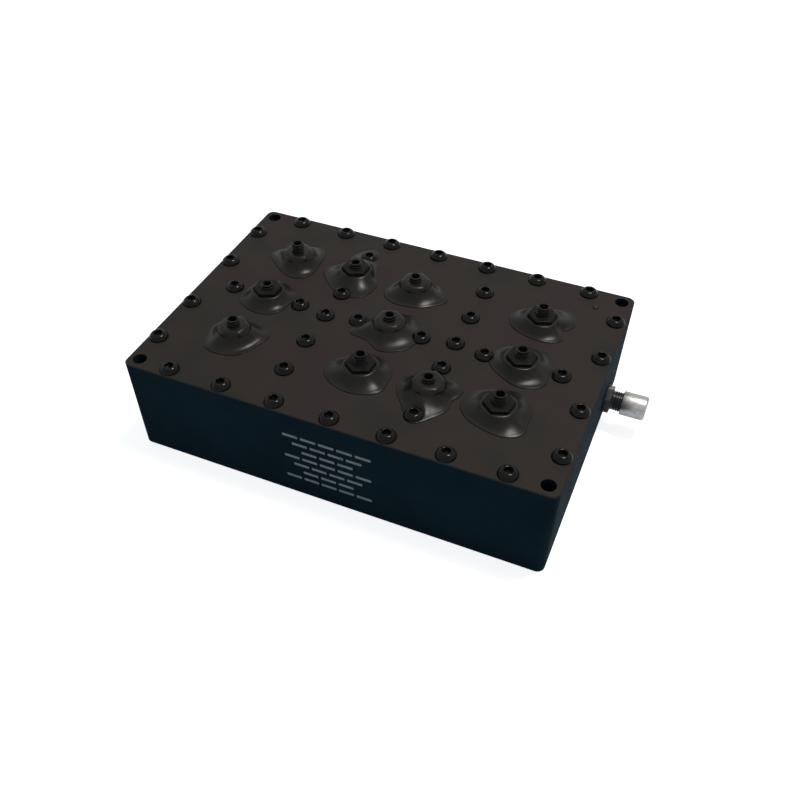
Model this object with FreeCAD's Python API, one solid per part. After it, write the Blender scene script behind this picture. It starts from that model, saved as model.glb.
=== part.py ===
import FreeCAD, Part
import math
import os

# Six-cavity coaxial bandpass filter: a milled housing with its screwed cover,
# resonator posts, tuning and coupling screws locked by nuts and black sealant,
# and two coaxial jacks, one of them under a dust cap.
# Millimetres. Origin at the centre of the underside, +X towards the capped
# jack, +Y to the back, +Z up.

# Housing: three columns and two rows of square cavities
cavity_size = 34.8
wall = 6.4
cavity_corner_radius = 4.0
floor_thickness = 4.0
housing_height = 29.3
outer_corner_radius = 2.4
base_edge_chamfer = 0.4
iris_width = 12.0
iris_floor = 9.0
corner_hole_diameter = 4.2
corner_hole_inset = 3.7

# Cover and its M3 button-head screws
cover_thickness = 3.0
cover_edge_chamfer = 0.25
cover_screw_diameter = 3.0
cover_screw_length = 10.0
cover_screw_head_diameter = 5.7
cover_screw_head_height = 1.65
cover_screw_crown_diameter = 3.2
cover_screw_rim_height = 0.45
cover_screw_socket_width = 2.4
cover_screw_socket_depth = 1.1
screw_hole_clearance = 0.08
blind_hole_extra = 1.5

# Places of the cover screws
long_edge_screws = 7
edge_screw_end_distance = 14.3
side_screw_inner_y = 11.8
iris_screw_offset = 10.5
blank_wall_screw_outer = 7.7
blank_wall_screw_inner = 5.9
crossing_screw_shift = 1.6
middle_wall_screw_centre = 10.3
middle_wall_screw_outer = 12.1
middle_wall_screw_inner = 11.1

# Resonator posts and the cap screws that hold them
post_diameter = 12.0
post_height = 20.5
post_head_diameter = 15.0
post_head_thickness = 2.2
post_edge_chamfer = 0.4
post_bore_diameter = 7.6
post_base_thickness = 6.5
post_screw_diameter = 4.0
post_screw_head_diameter = 7.0
post_screw_head_height = 3.2
post_screw_bite = 3.0
post_screw_socket_width = 3.0
post_screw_socket_depth = 1.8

# Tuning and coupling screws and their nuts, M4
adjuster_diameter = 4.0
adjuster_end_chamfer = 0.35
adjuster_socket_width = 2.4
adjuster_socket_depth = 2.2
adjuster_fit = 0.05
tuning_screw_length = 20.0
coupling_screw_length = 18.0
nut_width = 8.0
nut_height = 4.0
nut_corner_chamfer = 0.45
nut_corner_drop = 0.27

# Along the signal path: how far each screw stands over the cover, and its turn
tuning_screw_tops = (6.3, 7.1, 5.9, 6.9, 6.8, 6.6)
coupling_screw_tops = (5.2, 5.4, 5.8, 5.7, 6.2)
tuning_turns = (20, 25, 25, 25, 20, 20)
coupling_turns = (25, 25, 20, 20, 20)

# Sealant puddles along the signal path: reach every 30 degrees from +X, and
# whether the nut lies under the sealant too
tuning_sealant_reach = (
    (9.0, 10.0, 7.8, 7.5, 8.0, 8.2, 8.4, 8.6, 10.0, 9.3, 9.2, 8.6),
    (7.0, 8.0, 9.9, 9.0, 8.0, 9.0, 10.3, 8.0, 7.6, 8.5, 9.6, 8.4),
    (11.0, 8.5, 6.8, 6.6, 7.0, 7.5, 8.3, 10.0, 9.4, 8.4, 8.6, 9.5),
    (9.0, 9.0, 8.5, 8.0, 7.5, 8.0, 10.2, 10.5, 9.6, 9.4, 9.7, 10.2),
    (9.0, 9.6, 10.0, 9.4, 9.0, 10.0, 10.8, 9.8, 8.6, 8.6, 10.0, 10.6),
    (8.0, 11.0, 10.8, 8.0, 7.5, 8.7, 9.9, 9.2, 8.0, 8.0, 9.0, 9.4),
)
coupling_sealant_reach = (
    (8.0, 8.5, 8.0, 8.6, 8.4, 8.0, 8.2, 9.3, 8.7, 8.7, 9.0, 8.4),
    (7.5, 6.8, 9.0, 15.5, 11.0, 8.2, 11.0, 10.0, 9.8, 11.0, 11.5, 9.5),
    (9.5, 9.0, 10.0, 8.0, 7.5, 8.0, 9.5, 12.0, 8.5, 10.1, 10.4, 10.4),
    (8.3, 9.8, 8.0, 7.4, 7.5, 8.4, 9.1, 8.8, 9.4, 13.6, 10.6, 9.0),
    (8.8, 9.4, 9.6, 8.2, 8.4, 9.2, 9.6, 8.6, 7.8, 8.8, 10.0, 10.4),
)
tuning_nut_covered = (True, True, True, False, False, False)
coupling_nut_covered = (False, False, True, True, False)
sealant_rim_height = 0.3
sealant_skin = 0.45
sealant_dome_round = 1.5

# The puddle's hollow slope above its rim: share of the way out from the nut's
# collar to the rim, and share of the way up the nut
sealant_rim_share = 0.97
sealant_slope = ((0.62, 0.2), (0.3, 0.44), (0.08, 0.72))

# Coaxial jacks with a 1/4-36 thread
jack_height = 10.4
jack_thread_diameter = 6.35
jack_reach = 11.5
jack_hex_width = 8.0
jack_hex_thickness = 2.1
jack_mouth_diameter = 4.6
jack_mouth_depth = 1.9
jack_bore_diameter = 4.1
jack_end_chamfer = 0.3
contact_diameter = 1.27
contact_set_back = 1.9
contact_hole_diameter = 0.92
contact_hole_depth = 3.0
insulator_inner_stub = 2.0
tap_wire_diameter = 1.3
seat_clearance = 0.02

# Dust cap with its rubber disc
cap_diameter = 7.6
cap_length = 7.7
cap_end_thickness = 0.9
cap_end_chamfer = 0.6
cap_thread_clearance = 0.075
cap_disc_thickness = 0.6

# Sizes that follow
cavity_pitch = cavity_size + wall
row_y = cavity_pitch / 2
divider_x = cavity_pitch / 2
length = 3 * cavity_size + 4 * wall
width = 2 * cavity_size + 3 * wall
top = housing_height + cover_thickness
thread_radius = jack_thread_diameter / 2
cap_bore_radius = thread_radius + cap_thread_clearance
nut_corner_radius = nut_width / math.sqrt(3)
collar_radius = nut_corner_radius + sealant_skin

UP = FreeCAD.Vector(0, 0, 1)
FORWARD_X = FreeCAD.Vector(1, 0, 0)
FORWARD_Y = FreeCAD.Vector(0, 1, 0)

# Cavities along the signal path, from the front left to the back right
cavity_centres = (
    (-cavity_pitch, -row_y),
    (-cavity_pitch, row_y),
    (0, row_y),
    (0, -row_y),
    (cavity_pitch, -row_y),
    (cavity_pitch, row_y),
)
iris_centres = tuple(
    ((a[0] + b[0]) / 2, (a[1] + b[1]) / 2)
    for a, b in zip(cavity_centres, cavity_centres[1:])
)


def at(x, y, z=0):
    return FreeCAD.Vector(x, y, z)


def cylinder(radius, height, base=at(0, 0), axis=UP):
    return Part.makeCylinder(radius, height, base, axis)


def rounded_block(size_x, size_y, height, radius, x=0, y=0, z=0):
    """A block with round upright edges, centred on x, y."""
    block = Part.makeBox(size_x, size_y, height, at(x - size_x / 2, y - size_y / 2, z))
    uprights = [e for e in block.Edges if abs(e.tangentAt(e.FirstParameter).z) > 0.5]
    return block.makeFillet(radius, uprights)


def hexagon(across_flats, height, z=0):
    """A hexagonal prism with one corner on +X."""
    corner = across_flats / math.sqrt(3)
    angles = [math.radians(60 * i) for i in range(7)]
    points = [at(corner * math.cos(a), corner * math.sin(a), z) for a in angles]
    return Part.Face(Part.makePolygon(points)).extrude(UP * height)


def turned(profile):
    """A solid of revolution about Z from (radius, height) points."""
    points = [at(r, 0, z) for r, z in profile]
    face = Part.Face(Part.makePolygon(points + [points[0]]))
    return face.revolve(at(0, 0), UP, 360)


def placed(shape, x, y, z, turn=0):
    copy = shape.copy()
    copy.rotate(at(0, 0), UP, turn)
    copy.translate(at(x, y, z))
    return copy


def at_port(shape, side):
    """Lay a shape built up from the wall on +Z into the port at that end."""
    copy = shape.copy()
    copy.rotate(at(0, 0), FORWARD_Y, 90 * side)
    copy.translate(at(side * length / 2, side * row_y, jack_height))
    return copy


def corner_hole_centres():
    half_x = length / 2 - corner_hole_inset
    half_y = width / 2 - corner_hole_inset
    return [(sx * half_x, sy * half_y) for sx in (-1, 1) for sy in (-1, 1)]


def cover_screw_centres():
    """Round the edge, then along the walls between the cavities."""
    edge_x = length / 2 - wall / 2
    edge_y = width / 2 - wall / 2
    first_x = length / 2 - edge_screw_end_distance
    pitch = 2 * first_x / (long_edge_screws - 1)
    row = [-first_x + i * pitch for i in range(long_edge_screws)]
    side = (width / 2 - edge_screw_end_distance, side_screw_inner_y)
    divider = (
        row_y + iris_screw_offset,
        row_y - iris_screw_offset,
        -crossing_screw_shift,
        -row_y + blank_wall_screw_inner,
        -row_y - blank_wall_screw_outer,
    )
    middle = (
        middle_wall_screw_centre,
        cavity_pitch - middle_wall_screw_inner,
        cavity_pitch + middle_wall_screw_outer,
    )
    centres = []
    for s in (-1, 1):
        centres += [(x, s * edge_y) for x in row]
        centres += [(s * edge_x, y) for y in side]
        centres += [(s * edge_x, -y) for y in side]
        centres += [(s * divider_x, -s * y) for y in divider]
        centres += [(s * x, 0) for x in middle]
    return centres


def make_housing():
    body = rounded_block(length, width, housing_height, outer_corner_radius)
    lower = [e for e in body.Edges if e.BoundBox.ZMax < base_edge_chamfer / 2]
    body = body.makeChamfer(base_edge_chamfer, lower)
    depth = housing_height - floor_thickness
    cuts = [
        rounded_block(cavity_size, cavity_size, depth, cavity_corner_radius, x, y, floor_thickness)
        for x, y in cavity_centres
    ]
    for here, there, (x, y) in zip(cavity_centres, cavity_centres[1:], iris_centres):
        along_row = here[0] != there[0]
        size_x = 2 * wall if along_row else iris_width
        size_y = iris_width if along_row else 2 * wall
        corner = at(x - size_x / 2, y - size_y / 2, iris_floor)
        cuts.append(Part.makeBox(size_x, size_y, housing_height - iris_floor, corner))
    screw_depth = cover_screw_length - cover_thickness + blind_hole_extra
    screw_radius = cover_screw_diameter / 2 + screw_hole_clearance
    for x, y in cover_screw_centres():
        cuts.append(cylinder(screw_radius, screw_depth, at(x, y, housing_height - screw_depth)))
    for x, y in corner_hole_centres():
        cuts.append(cylinder(corner_hole_diameter / 2, housing_height, at(x, y)))
    post_screw_radius = post_screw_diameter / 2 + screw_hole_clearance
    for x, y in cavity_centres:
        start = at(x, y, floor_thickness - post_screw_bite)
        cuts.append(cylinder(post_screw_radius, post_screw_bite, start))
    port = cylinder(thread_radius + seat_clearance, wall, at(0, 0, -wall))
    cuts += [at_port(port, side) for side in (-1, 1)]
    return body.cut(cuts)


def make_cover():
    plate = rounded_block(length, width, cover_thickness, outer_corner_radius, z=housing_height)
    upper = [e for e in plate.Edges if e.BoundBox.ZMin > top - cover_edge_chamfer / 2]
    plate = plate.makeChamfer(cover_edge_chamfer, upper)
    holes = [(cover_screw_diameter / 2 + screw_hole_clearance, cover_screw_centres())]
    holes.append((adjuster_diameter / 2 + adjuster_fit, cavity_centres + iris_centres))
    holes.append((corner_hole_diameter / 2, corner_hole_centres()))
    cuts = [
        cylinder(radius, cover_thickness, at(x, y, housing_height))
        for radius, centres in holes
        for x, y in centres
    ]
    return plate.cut(cuts)


def make_cover_screw():
    """Button head as a slice of a sphere on a short rim; its seat is at z = 0."""
    head = cover_screw_head_diameter / 2
    crown = cover_screw_crown_diameter / 2
    rim = cover_screw_rim_height
    rise = cover_screw_head_height
    centre = (head ** 2 + rim ** 2 - crown ** 2 - rise ** 2) / (2 * (rim - rise))
    dome = Part.makeSphere(math.hypot(head, rim - centre), at(0, 0, centre))
    solid = cylinder(head, rise).common(dome)
    shank = cylinder(cover_screw_diameter / 2, cover_screw_length, at(0, 0, -cover_screw_length))
    depth = cover_screw_socket_depth
    return solid.fuse(shank).cut(hexagon(cover_screw_socket_width, depth, rise - depth))


def make_post():
    """Post bored from the top, with a broad head; it stands on z = 0."""
    outer = post_diameter / 2
    head = post_head_diameter / 2
    bore = post_bore_diameter / 2
    hole = post_screw_diameter / 2 + screw_hole_clearance
    head_base = post_height - post_head_thickness
    edge = post_edge_chamfer
    return turned([
        (hole, 0), (outer, 0), (outer, head_base), (head, head_base),
        (head, post_height - edge), (head - edge, post_height), (bore, post_height),
        (bore, post_base_thickness), (hole, post_base_thickness),
    ])


def make_post_screw():
    """Cap screw that goes down through the post; the head's seat is at z = 0."""
    shank_length = post_base_thickness + post_screw_bite
    head = cylinder(post_screw_head_diameter / 2, post_screw_head_height)
    shank = cylinder(post_screw_diameter / 2, shank_length, at(0, 0, -shank_length))
    depth = post_screw_socket_depth
    socket = hexagon(post_screw_socket_width, depth, post_screw_head_height - depth)
    return head.fuse(shank).cut(socket)


def make_adjuster(screw_length):
    """Socket set screw that hangs down from its top at z = 0."""
    radius = adjuster_diameter / 2
    bevel = adjuster_end_chamfer
    solid = turned([
        (0, 0), (radius - bevel, 0), (radius, -bevel),
        (radius, bevel - screw_length), (radius - bevel, -screw_length), (0, -screw_length),
    ])
    return solid.cut(hexagon(adjuster_socket_width, adjuster_socket_depth, -adjuster_socket_depth))


def make_nut():
    """Hexagon nut with turned corners, standing on z = 0."""
    corner = nut_corner_radius
    face = corner - nut_corner_chamfer
    drop = nut_corner_drop
    barrel = turned([
        (0, 0), (face, 0), (corner, drop), (corner, nut_height - drop),
        (face, nut_height), (0, nut_height),
    ])
    hole = cylinder(adjuster_diameter / 2 + adjuster_fit, nut_height)
    return hexagon(nut_width, nut_height).common(barrel).cut(hole)


def sealant_ring(reach, share, height):
    """A closed curve between the nut's collar and the puddle's outline."""
    points = []
    for i, far in enumerate(reach):
        angle = 2 * math.pi * i / len(reach)
        radius = collar_radius + (far - collar_radius) * share
        points.append(at(radius * math.cos(angle), radius * math.sin(angle), height))
    curve = Part.BSplineCurve()
    curve.interpolate(points, PeriodicFlag=True)
    return Part.Wire(curve.toShape())


def make_sealant(reach, nut_covered):
    """A puddle that climbs in a hollow slope to the nut, or over it as a dome."""
    rim = sealant_rim_height
    climb = nut_height - rim
    rings = [sealant_ring(reach, 1, 0), sealant_ring(reach, sealant_rim_share, rim)]
    rings += [sealant_ring(reach, share, rim + rise * climb) for share, rise in sealant_slope]
    puddle = Part.makeLoft(rings, True, False)
    if not nut_covered:
        return puddle
    dome = cylinder(collar_radius, nut_height + sealant_skin)
    edge = [e for e in dome.Edges if e.BoundBox.ZMin > nut_height]
    return puddle.fuse(dome.makeFillet(sealant_dome_round, edge))


def sealant_hollows(x, y, turn, furthest):
    """What a puddle flows round: its nut, its screw and cover screws near it."""
    hollows = [
        placed(hexagon(nut_width, nut_height), x, y, top, turn),
        cylinder(adjuster_diameter / 2, 2 * nut_height, at(x, y, top)),
    ]
    head = cover_screw_head_diameter / 2
    for screw_x, screw_y in cover_screw_centres():
        if math.hypot(screw_x - x, screw_y - y) < furthest + head:
            hollows.append(cylinder(head, cover_screw_head_height, at(screw_x, screw_y, top)))
    return hollows


def make_jack():
    """Hexagon flange on the wall at z = 0; the thread goes out and into the wall."""
    bore = jack_bore_diameter / 2
    mouth = jack_mouth_diameter / 2
    bevel = jack_end_chamfer
    mouth_floor = jack_reach - jack_mouth_depth
    barrel = turned([
        (bore, -wall), (thread_radius, -wall), (thread_radius, jack_reach - bevel),
        (thread_radius - bevel, jack_reach), (mouth, jack_reach), (mouth, mouth_floor),
        (bore, mouth_floor),
    ])
    flange = hexagon(jack_hex_width, jack_hex_thickness)
    return barrel.fuse(flange.cut(cylinder(thread_radius, jack_hex_thickness)))


def make_insulator():
    outer = jack_bore_diameter / 2 - seat_clearance
    inner = contact_diameter / 2 + seat_clearance
    front = jack_reach - jack_mouth_depth
    back = -wall - insulator_inner_stub
    return turned([(inner, back), (outer, back), (outer, front), (inner, front)])


def make_contact():
    """Centre contact with the hole for its mate at the front."""
    front = jack_reach - contact_set_back
    back = -wall - insulator_inner_stub
    pin = cylinder(contact_diameter / 2, front - back, at(0, 0, back))
    start = at(0, 0, front - contact_hole_depth)
    return pin.cut(cylinder(contact_hole_diameter / 2, contact_hole_depth, start))


def make_tap_wire():
    """Wire from the contact's inner end to the nearest post, shaped to its side."""
    start = wall + insulator_inner_stub
    post_axis = length / 2 - cavity_pitch
    wire = cylinder(tap_wire_diameter / 2, post_axis - start, at(0, 0, -post_axis))
    below = at(-post_diameter / 2, 0, -post_axis)
    return wire.cut(cylinder(post_diameter / 2, post_diameter, below, FORWARD_X))


def make_cap():
    """Smooth screw cap over the jack, with a closed end."""
    outer = cap_diameter / 2
    seat = jack_reach + cap_disc_thickness
    end = seat + cap_end_thickness
    mouth = end - cap_length
    bevel = cap_end_chamfer
    return turned([
        (cap_bore_radius, mouth), (outer, mouth), (outer, end - bevel), (outer - bevel, end),
        (0, end), (0, seat), (cap_bore_radius, seat),
    ])


def save(name, shape):
    shape.exportStep(os.path.join("parts", name + ".step"))


def save_resonators():
    post = make_post()
    screw = make_post_screw()
    screws = []
    for number, (x, y) in enumerate(cavity_centres, 1):
        save("resonator_%d" % number, placed(post, x, y, floor_thickness))
        screws.append(placed(screw, x, y, floor_thickness + post_base_thickness))
    save("resonator_screws", Part.Compound(screws))


def save_adjusters(kind, centres, screw_length, tops, turns, reaches, covered):
    """Save one kind of screw with its sealant, and give back its nuts."""
    screw = make_adjuster(screw_length)
    nut = make_nut()
    nuts = []
    rows = zip(centres, tops, turns, reaches, covered)
    for number, ((x, y), height, turn, reach, nut_covered) in enumerate(rows, 1):
        save("%s_screw_%d" % (kind, number), placed(screw, x, y, top + height, turn))
        nuts.append(placed(nut, x, y, top, turn))
        puddle = placed(make_sealant(reach, nut_covered), x, y, top)
        puddle = puddle.cut(sealant_hollows(x, y, turn, max(reach)))
        largest = max(puddle.Solids, key=lambda solid: solid.Volume)
        save("%s_sealant_%d" % (kind, number), largest)
    return nuts


def save_ports():
    pieces = (
        ("jack", make_jack()),
        ("insulator", make_insulator()),
        ("contact", make_contact()),
        ("tap_wire", make_tap_wire()),
    )
    for port, side in (("input", -1), ("output", 1)):
        for piece, shape in pieces:
            save("%s_%s" % (port, piece), at_port(shape, side))
    disc = cylinder(cap_bore_radius - seat_clearance, cap_disc_thickness, at(0, 0, jack_reach))
    save("dust_cap", at_port(make_cap(), 1))
    save("dust_cap_disc", at_port(disc, 1))


def main():
    os.makedirs("parts", exist_ok=True)
    save("housing", make_housing())
    save("cover", make_cover())
    screw = make_cover_screw()
    save("cover_screws", Part.Compound([placed(screw, x, y, top) for x, y in cover_screw_centres()]))
    save_resonators()
    nuts = save_adjusters("tuning", cavity_centres, tuning_screw_length, tuning_screw_tops,
                          tuning_turns, tuning_sealant_reach, tuning_nut_covered)
    nuts += save_adjusters("coupling", iris_centres, coupling_screw_length, coupling_screw_tops,
                           coupling_turns, coupling_sealant_reach, coupling_nut_covered)
    save("lock_nuts", Part.Compound(nuts))
    save_ports()


main()
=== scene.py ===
import bmesh
import bpy
import math
import random
from mathutils import Matrix, Vector


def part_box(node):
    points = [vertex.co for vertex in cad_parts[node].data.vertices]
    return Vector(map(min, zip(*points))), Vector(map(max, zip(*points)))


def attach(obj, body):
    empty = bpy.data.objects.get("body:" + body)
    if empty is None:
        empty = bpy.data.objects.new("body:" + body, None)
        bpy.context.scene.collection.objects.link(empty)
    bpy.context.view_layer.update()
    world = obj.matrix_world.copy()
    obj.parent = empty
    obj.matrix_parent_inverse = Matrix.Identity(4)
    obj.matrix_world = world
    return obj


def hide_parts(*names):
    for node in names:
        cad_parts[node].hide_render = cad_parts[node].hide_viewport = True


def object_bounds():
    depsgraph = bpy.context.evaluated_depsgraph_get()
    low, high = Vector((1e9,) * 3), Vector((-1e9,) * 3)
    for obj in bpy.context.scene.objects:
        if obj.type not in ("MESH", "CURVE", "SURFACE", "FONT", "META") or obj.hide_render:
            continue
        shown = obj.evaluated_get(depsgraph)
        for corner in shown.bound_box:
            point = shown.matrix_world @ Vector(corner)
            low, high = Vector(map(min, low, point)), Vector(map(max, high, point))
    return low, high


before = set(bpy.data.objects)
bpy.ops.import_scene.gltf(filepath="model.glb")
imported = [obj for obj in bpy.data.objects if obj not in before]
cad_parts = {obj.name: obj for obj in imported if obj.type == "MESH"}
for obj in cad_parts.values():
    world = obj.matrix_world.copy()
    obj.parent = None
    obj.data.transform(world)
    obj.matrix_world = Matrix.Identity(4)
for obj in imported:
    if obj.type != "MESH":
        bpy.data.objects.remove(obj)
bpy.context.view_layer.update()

# The filter's sizes are in millimetres here, and a metre is Blender's unit
MM = 0.001
TAU = 2 * math.pi
UP = Vector((0, 0, 1))

# Points closer than this, in metres, are joined into one
WELD = 1e-6

# The noise values between which a colour or a gloss runs from its low to its high end
NOISE_LOW, NOISE_HIGH = 0.3, 0.7

cover_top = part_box("cover")[1].z / MM
wall_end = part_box("housing")[1].x / MM
front_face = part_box("housing")[0].y / MM


# Materials

def maths(tree, kind, *values):
    """A Math node's result. Each value is a number or another node's output."""
    node = tree.nodes.new("ShaderNodeMath")
    node.operation = kind
    for socket, value in zip(node.inputs, values):
        if hasattr(value, "links"):
            tree.links.new(value, socket)
        else:
            socket.default_value = value
    return node.outputs["Value"]


class Finish:
    """A material built up from patterns on Object coordinates."""

    def __init__(self, name, colour, roughness, metallic=0.0, specular=0.5):
        self.material = bpy.data.materials.new(name)
        self.material.use_nodes = True
        self.tree = self.material.node_tree
        self.shader = self.tree.nodes["Principled BSDF"]
        self.shader.inputs["Base Color"].default_value = (*colour, 1)
        self.shader.inputs["Roughness"].default_value = roughness
        self.shader.inputs["Metallic"].default_value = metallic
        self.shader.inputs["Specular IOR Level"].default_value = specular
        self.place = self.tree.nodes.new("ShaderNodeTexCoord")

    def link(self, source, target):
        self.tree.links.new(source, target)

    def noise(self, size_mm, detail=3.0, stretch=None):
        node = self.tree.nodes.new("ShaderNodeTexNoise")
        node.inputs["Scale"].default_value = 1 / (size_mm * MM)
        node.inputs["Detail"].default_value = detail
        start = self.place.outputs["Object"]
        if stretch:
            mapping = self.tree.nodes.new("ShaderNodeMapping")
            mapping.inputs["Scale"].default_value = stretch
            self.link(start, mapping.inputs["Vector"])
            start = mapping.outputs["Vector"]
        self.link(start, node.inputs["Vector"])
        return node.outputs["Fac"]

    def steps(self, source, *stops):
        ramp = self.tree.nodes.new("ShaderNodeValToRGB")
        ramp.color_ramp.elements[0].position = stops[0][0]
        ramp.color_ramp.elements[0].color = (*stops[0][1], 1)
        ramp.color_ramp.elements[1].position = stops[-1][0]
        ramp.color_ramp.elements[1].color = (*stops[-1][1], 1)
        for position, colour in stops[1:-1]:
            ramp.color_ramp.elements.new(position).color = (*colour, 1)
        self.link(source, ramp.inputs["Fac"])
        return ramp.outputs["Color"]

    def spread(self, source, low, high):
        node = self.tree.nodes.new("ShaderNodeMapRange")
        node.inputs["From Min"].default_value = NOISE_LOW
        node.inputs["From Max"].default_value = NOISE_HIGH
        node.inputs["To Min"].default_value = low
        node.inputs["To Max"].default_value = high
        self.link(source, node.inputs["Value"])
        return node.outputs["Result"]

    def work_out(self, kind, a, b):
        return maths(self.tree, kind, a, b)

    def blend(self, share, below, above):
        node = self.tree.nodes.new("ShaderNodeMix")
        node.data_type = "RGBA"
        self.link(share, node.inputs[0])
        for socket, value in ((node.inputs[6], below), (node.inputs[7], above)):
            if hasattr(value, "links"):
                self.link(value, socket)
            else:
                socket.default_value = (*value, 1)
        return node.outputs[2]

    def colour(self, source):
        self.link(source, self.shader.inputs["Base Color"])

    def roughness(self, source):
        self.link(source, self.shader.inputs["Roughness"])

    def relief(self, height, depth_mm, strength):
        node = self.tree.nodes.new("ShaderNodeBump")
        node.inputs["Distance"].default_value = depth_mm * MM
        node.inputs["Strength"].default_value = strength
        self.link(height, node.inputs["Height"])
        self.link(node.outputs["Normal"], self.shader.inputs["Normal"])


def satin_paint(name):
    """Black sprayed paint, more matt on the sides. Its colour holds painted light: a warm painted
    reflection where it faces up and a blue painted reflection that makes the sides blue-black.
    """
    extra_roughness_on_sides = 0.32
    finish = Finish(name, (0.012, 0.012, 0.013), 0.5, specular=0.025)
    facing = finish.tree.nodes.new("ShaderNodeSeparateXYZ")
    finish.link(finish.place.outputs["Normal"], facing.inputs["Vector"])
    blotch = finish.noise(size_mm=30, detail=2.0)
    # Painted light: the warm colours for up-facing faces are a painted reflection, and the blue colours
    # for the sides are a painted reflection too; the blotch varies their tone at random.
    warm_painted_reflection_up = finish.steps(blotch, (NOISE_LOW, (0.0250, 0.0195, 0.0195)), (0.5, (0.0255, 0.0215, 0.0190)),
                         (NOISE_HIGH, (0.0200, 0.0195, 0.0180)))
    sides = finish.steps(blotch, (NOISE_LOW, (0.0042, 0.0130, 0.0195)),
                         (NOISE_HIGH, (0.0064, 0.0185, 0.0270)))
    upward = finish.work_out("MAXIMUM", facing.outputs["Z"], 0.0)
    uneven = finish.spread(finish.noise(size_mm=6), low=0.44, high=0.56)
    away_from_up = finish.work_out("SUBTRACT", 1.0, upward)
    sideways = finish.work_out("MULTIPLY", away_from_up, extra_roughness_on_sides)
    finish.roughness(finish.work_out("ADD", uneven, sideways))
    finish.relief(finish.noise(size_mm=0.7, detail=2.0), depth_mm=0.012, strength=0.6)
    # Blending by how much a face looks up puts the warm painted reflection on top and the blue painted
    # reflection on the sides.
    return finish, finish.blend(upward, sides, warm_painted_reflection_up)


def cover_paint():
    finish, colour = satin_paint("cover_paint")
    finish.colour(colour)
    return finish.material


def housing_paint():
    """The same paint with rows of plain pale bars printed on the front face."""
    finish, colour = satin_paint("housing_paint")
    first_row, row_pitch, rows = 24.6, 2.8, 7
    bar_pitch, half_bar, row_share = 5.6, 0.42, 0.34
    longest_half_row, row_step = 2.5, 0.5
    face_slack = 0.03
    ink_colour = (0.36, 0.40, 0.41)
    split = finish.tree.nodes.new("ShaderNodeSeparateXYZ")
    finish.link(finish.place.outputs["Object"], split.inputs["Vector"])
    below_first = finish.work_out("SUBTRACT", first_row * MM, split.outputs["Z"])
    down = finish.work_out("MULTIPLY", below_first, 1 / (row_pitch * MM))
    row = finish.work_out("FLOOR", down, 0)
    in_row = finish.work_out("LESS_THAN", finish.work_out("FRACT", down, 0), row_share)
    after_first = finish.work_out("GREATER_THAN", down, 0)
    before_last = finish.work_out("LESS_THAN", down, rows)
    bars = finish.work_out("MULTIPLY", split.outputs["X"], 1 / (bar_pitch * MM))
    shorter = finish.work_out("MULTIPLY", finish.work_out("MODULO", row, 3), row_step)
    half_width = finish.work_out("SUBTRACT", longest_half_row, shorter)
    in_width = finish.work_out("LESS_THAN", finish.work_out("ABSOLUTE", bars, 0), half_width)
    along = finish.work_out("FRACT", finish.work_out("ADD", bars, half_width), 0)
    off_middle = finish.work_out("ABSOLUTE", finish.work_out("SUBTRACT", along, 0.5), 0)
    in_bar = finish.work_out("LESS_THAN", off_middle, half_bar)
    on_front = finish.work_out("LESS_THAN", split.outputs["Y"], (front_face + face_slack) * MM)
    ink = on_front
    for mask in (in_row, after_first, before_last, in_width, in_bar):
        ink = finish.work_out("MULTIPLY", ink, mask)
    strength = finish.spread(finish.noise(size_mm=2.5), low=0.55, high=0.7)
    worn = finish.work_out("MULTIPLY", ink, strength)
    finish.colour(finish.blend(worn, colour, ink_colour))
    return finish.material


def plain_finish(name, dark, light, roughness, metallic=0.0, specular=0.5,
                 grain_mm=0.6, relief_mm=0.004, blotch_mm=5.0, stretch=None):
    """A finish with blotches of colour, uneven gloss and a fine grain."""
    finish = Finish(name, dark, roughness[0], metallic, specular)
    finish.colour(finish.steps(finish.noise(blotch_mm), (NOISE_LOW, dark), (NOISE_HIGH, light)))
    finish.roughness(finish.spread(finish.noise(blotch_mm / 3), *roughness))
    finish.relief(finish.noise(grain_mm, stretch=stretch), relief_mm, strength=0.7)
    return finish.material


cover_finish = cover_paint()
housing_finish = housing_paint()
screw_finish = plain_finish("black_oxide_screw", (0.002, 0.002, 0.002), (0.005, 0.005, 0.0045),
                            (0.10, 0.18), specular=0.105, grain_mm=0.3, blotch_mm=1.6)
adjuster_finish = plain_finish("painted_adjuster", (0.004, 0.004, 0.004), (0.008, 0.008, 0.007),
                               (0.16, 0.28), specular=0.11, grain_mm=0.5, blotch_mm=2.5)
nut_finish = plain_finish("painted_nut", (0.005, 0.0053, 0.0043), (0.009, 0.009, 0.0075),
                          (0.3, 0.46), specular=0.04, grain_mm=0.5, blotch_mm=3.0)
sealant_finish = plain_finish("glossy_sealant", (0.005, 0.0045, 0.0040), (0.009, 0.0082, 0.0074),
                              (0.25, 0.33), specular=0.13, grain_mm=0.9, relief_mm=0.004,
                              blotch_mm=6.0)
jack_finish = plain_finish("black_jack", (0.006, 0.007, 0.008), (0.012, 0.013, 0.014),
                           (0.24, 0.36), specular=0.22, grain_mm=0.4)
cap_finish = plain_finish("satin_nickel", (0.28, 0.28, 0.275), (0.42, 0.42, 0.41), (0.26, 0.42),
                          metallic=1.0, grain_mm=0.25, relief_mm=0.004, blotch_mm=1.2)
disc_finish = plain_finish("rubber_disc", (0.02, 0.02, 0.02), (0.04, 0.04, 0.04), (0.7, 0.85),
                           specular=0.3)
silver_finish = plain_finish("silver_plate", (0.72, 0.72, 0.68), (0.86, 0.86, 0.83), (0.22, 0.38),
                             metallic=1.0, grain_mm=0.5, stretch=(1, 1, 12))
steel_finish = plain_finish("steel_screw", (0.4, 0.4, 0.41), (0.56, 0.56, 0.57), (0.26, 0.4),
                            metallic=1.0)
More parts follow.
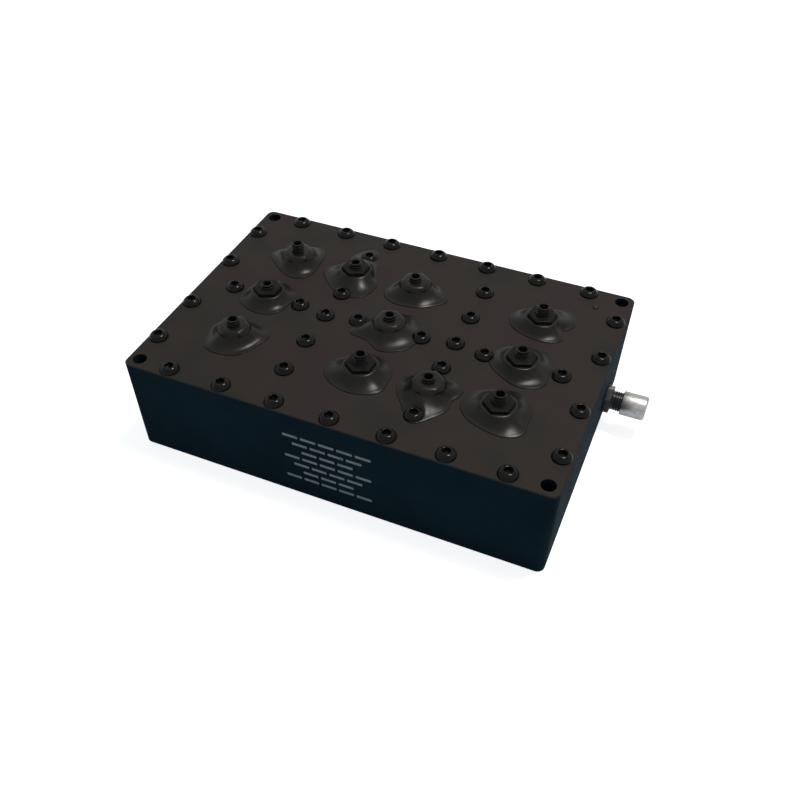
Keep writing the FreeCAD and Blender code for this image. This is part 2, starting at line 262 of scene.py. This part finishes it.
insulator_finish = plain_finish("white_insulator", (0.74, 0.74, 0.7), (0.84, 0.84, 0.81),
                                (0.42, 0.6), specular=0.4)
gold_finish = plain_finish("gold_contact", (0.72, 0.48, 0.16), (0.83, 0.6, 0.25), (0.16, 0.28),
                           metallic=1.0)
wire_finish = plain_finish("copper_wire", (0.5, 0.24, 0.13), (0.68, 0.36, 0.2), (0.26, 0.42),
                           metallic=1.0)

for node, finish in (
    [("cover", cover_finish), ("housing", housing_finish), ("resonator_screws", steel_finish),
     ("dust_cap_disc", disc_finish)]
    + [("resonator_%d" % i, silver_finish) for i in range(1, 7)]
    + [(port + "_insulator", insulator_finish) for port in ("input", "output")]
    + [(port + "_contact", gold_finish) for port in ("input", "output")]
    + [(port + "_tap_wire", wire_finish) for port in ("input", "output")]
):
    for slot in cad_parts[node].material_slots:
        slot.material = finish


# Ways to make a piece

def turned(profile, steps=48, closed=False):
    """Spin (radius, height) points in millimetres about Z."""
    shape = bmesh.new()
    verts = [shape.verts.new((r * MM, 0, z * MM)) for r, z in profile]
    pairs = list(zip(verts, verts[1:])) + ([(verts[-1], verts[0])] if closed else [])
    edges = [shape.edges.new(pair) for pair in pairs]
    bmesh.ops.spin(shape, geom=verts + edges, cent=(0, 0, 0), axis=UP, dvec=(0, 0, 0),
                   angle=TAU, steps=steps, use_merge=True)
    bmesh.ops.remove_doubles(shape, verts=shape.verts, dist=WELD)
    bmesh.ops.recalc_face_normals(shape, faces=shape.faces)
    return shape


def thread_ridge(shape, root, crest, pitch, start, end, steps=24):
    """Add a screw thread's ridge from start to end along Z, in millimetres."""
    turns = (end - start) / pitch
    foot = root - 0.08
    half_foot = 0.42 * pitch
    half_crest = 0.06
    tooth = ((foot, half_foot), (crest, half_crest), (crest, -half_crest), (foot, -half_foot))
    verts = [shape.verts.new((r * MM, 0, (start + z) * MM)) for r, z in tooth]
    edges = [shape.edges.new(pair) for pair in zip(verts, verts[1:] + verts[:1])]
    count = round(turns * steps)
    made = bmesh.ops.spin(shape, geom=verts + edges, cent=(0, 0, 0), axis=UP,
                          dvec=(0, 0, pitch * MM / steps), angle=TAU * count / steps, steps=count)
    last = [v for v in made["geom_last"] if isinstance(v, bmesh.types.BMVert)]
    shape.faces.new(verts)
    shape.faces.new(last)
    bmesh.ops.recalc_face_normals(shape, faces=shape.faces)


def six_sided(across_flats, turn, angle):
    """Reach of a hexagon's side at that angle; one corner is at the turn."""
    part = (angle - turn) % (math.pi / 3) - math.pi / 6
    return across_flats / 2 / math.cos(part)


def cut_socket(shape, across_flats, floor):
    """Bring the round socket of a turned head to six flat sides."""
    slack = 0.01
    still_socket = 1.06
    limit = across_flats / 2 * still_socket * MM
    for vert in shape.verts:
        radius = vert.co.xy.length
        if 0 < radius < limit and vert.co.z > (floor - slack) * MM:
            reach = six_sided(across_flats, 0, math.atan2(vert.co.y, vert.co.x))
            vert.co.xy *= reach / (across_flats / 2)


def hexagon_ring(across_flats, height, bore, edge):
    """A hexagon with a round bore and softened edges on Z = 0, one corner on +X."""
    corner = across_flats / math.sqrt(3)
    rounding = ((1, 0), (0.62, 0.08), (0.29, 0.29), (0.08, 0.62), (0, 1))
    foot_chamfer = 0.2
    corner_cut = 0.06
    slack = 0.01
    shape = turned(
        [(bore, 0), (bore, height)]
        + [(corner - inward * edge, height - down * edge) for inward, down in rounding]
        + [(corner, foot_chamfer), (corner - foot_chamfer, 0)], steps=96, closed=True)
    for vert in shape.verts:
        radius = vert.co.xy.length / MM
        if radius > bore + slack:
            reach = six_sided(across_flats, 0, math.atan2(vert.co.y, vert.co.x))
            vert.co.xy *= (radius - corner + min(reach, corner - corner_cut)) / radius
    return shape


def add_copy(whole, template, placing):
    """Add a copy of a template shape to a larger one."""
    spare = bpy.data.meshes.new("spare")
    template.to_mesh(spare)
    spare.transform(placing)
    whole.from_mesh(spare)
    bpy.data.meshes.remove(spare)


def make_piece(name, shape, finish, slot, body, *replaced, crease=38):
    """Turn a shape into a piece that rides a body and replaces CAD nodes, if any are named."""
    mesh = bpy.data.meshes.new(name)
    shape.to_mesh(mesh)
    shape.free()
    for face in mesh.polygons:
        face.use_smooth = True
    mesh.set_sharp_from_angle(angle=math.radians(crease))
    mesh.materials.append(finish)
    piece = bpy.data.objects.new(name, mesh)
    bpy.context.scene.collection.objects.link(piece)
    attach(piece, body)
    if replaced:
        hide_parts(*replaced)


def solid_boxes(node):
    """Lowest and highest corner of each separate solid of a CAD node, in millimetres."""
    shape = bmesh.new()
    shape.from_mesh(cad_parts[node].data)
    bmesh.ops.remove_doubles(shape, verts=shape.verts, dist=WELD)
    seen = set()
    boxes = []
    for first in shape.verts:
        if first in seen:
            continue
        seen.add(first)
        island = [first]
        for vert in island:
            for edge in vert.link_edges:
                other = edge.other_vert(vert)
                if other not in seen:
                    seen.add(other)
                    island.append(other)
        low = Vector([min(v.co[i] for v in island) for i in range(3)]) / MM
        high = Vector([max(v.co[i] for v in island) for i in range(3)]) / MM
        boxes.append((low, high))
    shape.free()
    return boxes


def set_at(x, y, z, turn=0.0):
    return Matrix.Translation(Vector((x, y, z)) * MM) @ Matrix.Rotation(turn, 4, "Z")


# Cover screws: button heads with their shanks

head_radius = 2.85
head_height = 1.65
head_socket_floor = 0.5
shank_radius = 1.5
shank_length = 10
socket_width = 2.4
cover_screw_places = [
    ((low.x + high.x) / 2, (low.y + high.y) / 2) for low, high in solid_boxes("cover_screws")
]


def cover_screw_template():
    socket = socket_width / 2
    shape = turned([
        (0, head_socket_floor), (socket * 0.96, 0.55), (socket, 0.62), (socket, 1.5), (socket + 0.08, 1.6),
        (socket + 0.22, head_height), (1.62, 1.63), (1.9, 1.5), (2.2, 1.28), (2.47, 1.0),
        (2.68, 0.72), (2.8, 0.5), (head_radius, 0.36), (head_radius, 0.08), (2.78, 0),
        (shank_radius, 0), (shank_radius, 0.2 - shank_length), (shank_radius - 0.2, -shank_length),
        (0, -shank_length),
    ])
    cut_socket(shape, socket_width, head_socket_floor)
    return shape


chance = random.Random(17)
template = cover_screw_template()
heads = bmesh.new()
for x, y in cover_screw_places:
    add_copy(heads, template, set_at(x, y, cover_top, chance.uniform(0, TAU)))
template.free()
make_piece("cover_screw_heads", heads, screw_finish, "black_screw", "filter", "cover_screws")


# Nuts, adjusting screws and the sealant round them, one set for each screw

nut_width = 8.0
nut_height = 4.0
nut_bore = 2.05
nut_edge = 0.42
nut_corner = nut_width / math.sqrt(3)
collar = nut_corner + 0.45
adjusters = (
    [("tuning", i) for i in range(1, 7)] + [("coupling", i) for i in range(1, 6)]
)
# How far each nut and screw is turned, in degrees
turns = {
    "tuning": (20, 25, 25, 25, 20, 20),
    "coupling": (25, 25, 20, 20, 20),
}
# Where the sealant runs on over the nut
under_sealant = {
    "tuning": (True, True, True, False, False, False),
    "coupling": (False, False, True, True, False),
}

nuts = bmesh.new()
nut_template = hexagon_ring(nut_width, nut_height, nut_bore, nut_edge)
for kind, number in adjusters:
    low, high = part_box("%s_screw_%d" % (kind, number))
    middle = (low + high) / 2 / MM
    turn = math.radians(turns[kind][number - 1])
    add_copy(nuts, nut_template, set_at(middle.x, middle.y, cover_top, turn))
nut_template.free()
make_piece("lock_nut_pieces", nuts, nut_finish, "painted_adjuster", "filter", "lock_nuts")


def adjusting_screw(length):
    """Set screw with a rolled thread and a six-sided socket, hanging from Z = 0."""
    socket = socket_width / 2
    socket_depth = 2.3
    core, crest, pitch = 1.8, 2.0, 0.7
    shape = turned([
        (0, -socket_depth), (socket * 0.96, -2.2), (socket, -2.1), (socket, -0.16), (socket + 0.1, -0.03),
        (core - 0.1, 0), (core, -0.1), (core, 0.3 - length), (core - 0.3, -length), (0, -length),
    ])
    cut_socket(shape, socket_width, -socket_depth)
    thread_ridge(shape, core, crest, pitch, start=0.45 - length, end=-0.3)
    return shape


for kind, number in adjusters:
    node = "%s_screw_%d" % (kind, number)
    low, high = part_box(node)
    middle = (low + high) / 2 / MM
    shape = adjusting_screw((high.z - low.z) / MM)
    turn = math.radians(turns[kind][number - 1])
    bmesh.ops.transform(shape, verts=shape.verts,
                        matrix=set_at(middle.x, middle.y, high.z / MM, turn))
    make_piece(node + "_threaded", shape, adjuster_finish, "painted_adjuster", "filter", node)


def puddle_outline(node, centre):
    """The puddle's reach at each angle, from the foot of its CAD solid."""
    foot_slack = 0.05
    seat_gap = 0.12
    collar_gap = 0.3
    found = {}
    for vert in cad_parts[node].data.vertices:
        if vert.co.z / MM > cover_top + foot_slack:
            continue
        place = Vector((vert.co.x, vert.co.y)) / MM
        near_head = any((place - Vector(head)).length < head_radius + seat_gap
                        for head in cover_screw_places)
        offset = place - centre
        if near_head or offset.length < collar + collar_gap:
            continue
        key = round(math.degrees(math.atan2(offset.y, offset.x))) % 360
        found[key] = max(found.get(key, 0), offset.length)
    known = sorted(found)
    angles = [known[-1] - 360] + known + [known[0] + 360]
    reach = [found[a % 360] for a in angles]
    return angles, reach


def reach_at(outline, degrees):
    angles, reach = outline
    degrees %= 360
    for (a, b), (low, high) in zip(zip(angles, angles[1:]), zip(reach, reach[1:])):
        if a <= degrees <= b:
            share = (degrees - a) / (b - a) if b > a else 0
            return low + (high - low) * share
    return reach[-1]


# The slope of a puddle from its collar to its rim: shares of the way out
slope_steps = 28
slope_shares = [step / slope_steps for step in range(slope_steps - 1)]
slope_hollow = 2.0
puddle_climb = 2.55
rim = 0.3

# Slow waves on the slope, different for each puddle
puddle_seed = 31
swell_height = 0.07
swell_start = rim * 1.05

# The dome over a covered nut: its top, its hole, where it turns from round to six-sided on the
# way up and by how much, and the low cone round the screw
crown = nut_height + 0.45
hole = 1.6
dome_start = nut_height - 1.4
dome_foot, dome_rise, dome_share = 2.95, 0.9, 0.75
hub_radius, hub_rise = 2.4, 0.12

# Near a cover screw's head the sealant stays this low, so that it doesn't fill the socket
head_reach, head_level_radius = 3.4, 2.2
head_level, head_slope = 0.3, 1.2


def puddle(node, centre, covered, turn, seed):
    """A glossy puddle: a hollow slope from the nut to a crisp rim, or on over it."""
    outline = puddle_outline(node, centre)
    profile = []
    if covered:
        profile += [(hole, 0), (hole, crown), (2.3, crown), (3.2, crown - 0.02), (3.7, crown - 0.07),
                    (4.2, crown - 0.17), (4.6, crown - 0.4), (4.87, crown - 0.75),
                    (5.0, crown - 1.15), (5.04, crown - 1.45)]
    else:
        profile += [(3.2, 0), (3.4, 1.2), (3.6, rim + 1.04 * puddle_climb),
                    (4.7, rim + 1.03 * puddle_climb)]
    for share in slope_shares:
        profile.append((collar + share, rim + puddle_climb * (1 - share) ** slope_hollow))
    profile += [(collar + 0.97, rim - 0.02), (collar + 0.985, rim - 0.06), (collar + 0.995, rim - 0.13),
                (collar + 1, rim - 0.2), (collar + 1, 0)]
    shape = turned(profile, steps=120, closed=True)
    swell = random.Random(seed)
    phases = [swell.uniform(0, TAU) for _ in range(3)]
    for vert in shape.verts:
        radius = vert.co.xy.length / MM
        height = vert.co.z / MM
        angle = math.atan2(vert.co.y, vert.co.x)
        if radius > collar - 1e-3:
            share = min(radius - collar, 1.0)
            far = reach_at(outline, math.degrees(angle))
            new = collar + (far - collar) * share
            if height > swell_start:
                wave = sum(math.sin((k + 2) * angle + p) for k, p in enumerate(phases))
                vert.co.z += swell_height * wave * share * (1 - share) * 4 * MM
        elif covered and height > dome_start:
            soft = six_sided(nut_width, turn, angle) / nut_corner
            fade = min(1, max(0, (height - dome_foot) / dome_rise))
            new = radius * (1 - dome_share * (1 - soft) * (radius / collar) ** 2 * fade)
        else:
            new = radius
        vert.co.xy *= new / radius
    if covered:
        hub = [v for v in shape.verts
               if v.co.z > nut_height * MM and v.co.xy.length < hub_radius * MM]
        for vert in hub:
            vert.co.z += hub_rise * MM * (1 - vert.co.xy.length / (hub_radius * MM))
    bmesh.ops.transform(shape, verts=shape.verts, matrix=set_at(centre.x, centre.y, cover_top))
    for head in cover_screw_places:
        for vert in shape.verts:
            away = (vert.co.xy / MM - Vector(head)).length
            if away < head_reach:
                highest = cover_top + head_level + head_slope * max(0, away - head_level_radius)
                vert.co.z = min(vert.co.z, highest * MM)
    bmesh.ops.recalc_face_normals(shape, faces=shape.faces)
    return shape


for order, (kind, number) in enumerate(adjusters):
    node = "%s_sealant_%d" % (kind, number)
    low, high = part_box("%s_screw_%d" % (kind, number))
    centre = Vector(((low.x + high.x) / 2, (low.y + high.y) / 2)) / MM
    shape = puddle(node, centre, under_sealant[kind][number - 1],
                   math.radians(turns[kind][number - 1]), puddle_seed + order)
    make_piece(node + "_puddle", shape, sealant_finish, "sealant", "filter", node, crease=50)


# A drop of sealant that fell beside the back right corner

drop = turned([
    (0, 0.6), (0.3, 0.57), (0.6, 0.44), (0.82, 0.25), (0.92, 0.08), (0.92, 0), (0, 0),
], steps=32)
drop_x, drop_y = 54.3, 35.0
bmesh.ops.transform(drop, verts=drop.verts, matrix=set_at(drop_x, drop_y, cover_top))
make_piece("sealant_drop", drop, sealant_finish, "sealant", "filter", crease=60)


# Coaxial jacks, and the dust cap on the output jack

def jack():
    """Threaded barrel with its hexagon flange, built up from the wall on +Z."""
    bore, mouth, core, barrel = 2.05, 2.3, 2.9, 3.175
    inner_end, mouth_floor, outer_end = -6.4, 9.6, 11.5
    thread_pitch = 0.7056
    shape = turned([
        (bore, inner_end), (barrel - 0.025, inner_end), (barrel, inner_end + 0.1), (barrel, 2.2),
        (core, 2.5), (core, outer_end - 0.25), (core - 0.18, outer_end), (mouth + 0.08, outer_end),
        (mouth, outer_end - 0.08), (mouth, mouth_floor), (bore, mouth_floor),
    ], closed=True)
    thread_ridge(shape, core, barrel, thread_pitch, start=2.75, end=11.0, steps=36)
    flange = hexagon_ring(across_flats=8.0, height=2.1, bore=3.05, edge=0.3)
    add_copy(shape, flange, Matrix.Identity(4))
    flange.free()
    return shape


def at_port(shape, side):
    """Lay a shape built up on +Z into the port at that end."""
    low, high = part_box(("output" if side > 0 else "input") + "_jack")
    axis = (low + high) / 2 / MM
    placing = Matrix.Translation(Vector((side * wall_end, axis.y, axis.z)) * MM)
    placing = placing @ Matrix.Rotation(side * math.pi / 2, 4, "Y")
    bmesh.ops.transform(shape, verts=shape.verts, matrix=placing)
    return shape


for port, side in (("input", -1), ("output", 1)):
    make_piece(port + "_jack_threaded", at_port(jack(), side), jack_finish, "black_jack",
               "filter", port + "_jack")

cap_radius, cap_bore = 3.8, 3.25
cap_floor, cap_end = 12.1, 13.0
cap_shape = turned([
    (0, cap_floor), (3.0, cap_floor), (cap_bore, 11.95), (cap_bore, 5.5), (3.4, 5.32), (3.62, 5.3),
    (3.74, 5.36), (cap_radius, 5.5), (cap_radius, 12.3), (3.76, 12.55), (3.64, 12.76), (3.44, 12.92),
    (3.15, cap_end), (0, cap_end),
], steps=64)
make_piece("dust_cap_shell", at_port(cap_shape, 1), cap_finish, "nickel", "cap", "dust_cap",
           crease=60)


# Floor, backdrop, lamp and camera

def room():
    """A pale floor that stays white to the camera and keeps the shadow."""
    half_width = 3.0
    gap_below = 0.0002
    camera_glow = 0.82
    mirrored_glow = 0.52
    shape = bmesh.new()
    bmesh.ops.create_grid(shape, x_segments=2, y_segments=2, size=half_width)
    bmesh.ops.translate(shape, verts=shape.verts, vec=(0, 0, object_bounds()[0].z - gap_below))
    mesh = bpy.data.meshes.new("floor")
    shape.to_mesh(mesh)
    shape.free()
    floor = bpy.data.objects.new("floor", mesh)
    bpy.context.scene.collection.objects.link(floor)
    material = bpy.data.materials.new("pale_floor")
    material.use_nodes = True
    tree = material.node_tree
    tree.nodes.clear()
    seen = tree.nodes.new("ShaderNodeLightPath")
    mirrored = maths(tree, "MAXIMUM", seen.outputs["Is Glossy Ray"], seen.outputs["Is Transmission Ray"])
    in_mirrors = maths(tree, "MULTIPLY", mirrored, mirrored_glow)
    lift = maths(tree, "MULTIPLY_ADD", seen.outputs["Is Camera Ray"], camera_glow, in_mirrors)
    glow = tree.nodes.new("ShaderNodeEmission")
    glow.inputs["Color"].default_value = (1, 1, 1, 1)
    tree.links.new(lift, glow.inputs["Strength"])
    matt = tree.nodes.new("ShaderNodeBsdfDiffuse")
    matt.inputs["Color"].default_value = (0.46, 0.50, 0.53, 1)
    both = tree.nodes.new("ShaderNodeAddShader")
    tree.links.new(matt.outputs[0], both.inputs[0])
    tree.links.new(glow.outputs[0], both.inputs[1])
    output = tree.nodes.new("ShaderNodeOutputMaterial")
    tree.links.new(both.outputs[0], output.inputs["Surface"])
    mesh.materials.append(material)


def backdrop():
    """White behind the object for camera and reflections, softer as a light."""
    world = bpy.data.worlds.new("studio")
    bpy.context.scene.world = world
    world.use_nodes = True
    tree = world.node_tree
    tree.nodes.clear()
    seen = tree.nodes.new("ShaderNodeLightPath")
    straight = maths(tree, "MAXIMUM", seen.outputs["Is Camera Ray"], seen.outputs["Is Transmission Ray"])
    shown = maths(tree, "MAXIMUM", straight, seen.outputs["Is Glossy Ray"])
    ambient = tree.nodes.new("ShaderNodeBackground")
    ambient.inputs["Color"].default_value = (0.62, 0.66, 0.7, 1)
    ambient.inputs["Strength"].default_value = 0.55
    white = tree.nodes.new("ShaderNodeBackground")
    white.inputs["Color"].default_value = (1, 1, 1, 1)
    white.inputs["Strength"].default_value = 1.0
    mix = tree.nodes.new("ShaderNodeMixShader")
    tree.links.new(shown, mix.inputs[0])
    tree.links.new(ambient.outputs[0], mix.inputs[1])
    tree.links.new(white.outputs[0], mix.inputs[2])
    output = tree.nodes.new("ShaderNodeOutputWorld")
    tree.links.new(mix.outputs[0], output.inputs["Surface"])


def lamp(name, place, aim, size, power, colour):
    """A rectangular lamp at a place, turned towards its aim."""
    data = bpy.data.lights.new(name, "AREA")
    data.shape = "RECTANGLE"
    data.size, data.size_y = size
    data.energy = power
    data.color = colour
    piece = bpy.data.objects.new(name, data)
    bpy.context.scene.collection.objects.link(piece)
    piece.location = place
    piece.rotation_euler = (Vector(aim) - Vector(place)).to_track_quat("-Z", "Y").to_euler()


def camera():
    """The photograph's view. Lens, shift and pose were fitted to the photograph."""
    data = bpy.data.cameras.new("view")
    data.lens = 38.115
    data.sensor_width = 36.0
    data.shift_x = 0.0056
    data.shift_y = 0.071
    data.clip_start = 0.01
    piece = bpy.data.objects.new("view", data)
    bpy.context.scene.collection.objects.link(piece)
    forward = Vector((-0.26357, 0.62133, -0.73789)).normalized()
    right = Vector((0.91985, 0.39225, 0.00171)).normalized()
    above = right.cross(forward).normalized()
    turn = Matrix((right, above, -forward)).transposed().to_4x4()
    piece.matrix_world = Matrix.Translation((0.07995, -0.18355, 0.19454)) @ turn
    bpy.context.scene.camera = piece


room()
backdrop()
lamp("softbox_above", place=(0.12, 0.10, 0.55), aim=(0, 0, 0.03), size=(0.17, 0.125), power=2.7,
     colour=(1.0, 0.97, 0.93))
camera()

bpy.context.scene.view_settings.view_transform = "Standard"
